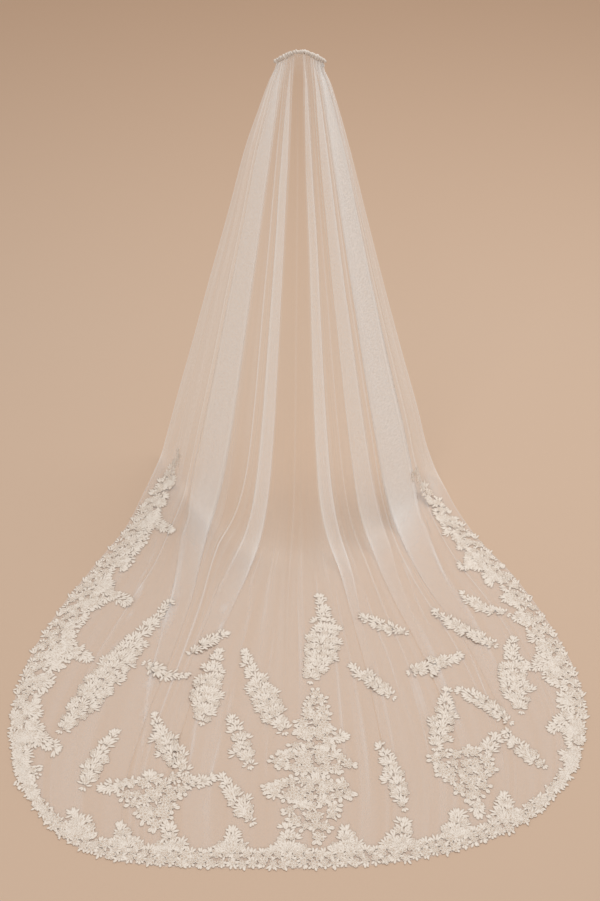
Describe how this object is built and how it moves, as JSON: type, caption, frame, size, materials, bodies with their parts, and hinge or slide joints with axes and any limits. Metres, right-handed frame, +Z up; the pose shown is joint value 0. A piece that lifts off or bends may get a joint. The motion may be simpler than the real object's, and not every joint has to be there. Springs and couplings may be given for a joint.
{
  "type": "bridal veil",
  "caption": "Cathedral veil: soft tulle gathered on a narrow band, hanging to the floor and spreading into a train, with a lace border and lace sprays.",
  "frame": {"origin": "middle of the gathered band at the crown, where the hair or a comb holds the veil", "axes": "+Z up from the floor towards the crown, -Y along the train, +Y the open side where the wearer stands"},
  "size_m": [1.66, 1.6582, 1.6001],
  "materials": {
    "tulle": "soft ivory see-through net, matte",
    "lace": "ivory corded lace, matte",
    "band": "ivory rolled binding, soft sheen"
  },
  "bodies": {
    "root": {"tulle": "tulle", "gathered_band": "band", "lace_border_left": "lace", "lace_border_hem": "lace", "lace_border_right": "lace", "spray_left_long": "lace", "spray_left_small": "lace", "spray_left_centre": "lace", "spray_left_inner": "lace", "spray_centre_long": "lace", "spray_left_low": "lace", "spray_left_side": "lace", "spray_hem_left": "lace", "cluster_left": "lace", "cluster_centre_crown": "lace", "cluster_centre_shoulder": "lace", "cluster_centre_tier": "lace", "cluster_centre_foot": "lace", "spray_centre_tall": "lace", "spray_right_small": "lace", "spray_right_upper": "lace", "spray_right_branch": "lace", "spray_right_rising": "lace", "spray_right_inner": "lace", "spray_right_tall": "lace", "spray_right_slant": "lace", "spray_right_centre": "lace", "spray_right_side": "lace", "spray_hem_right": "lace", "cluster_right": "lace"}
  },
  "joints": []
}
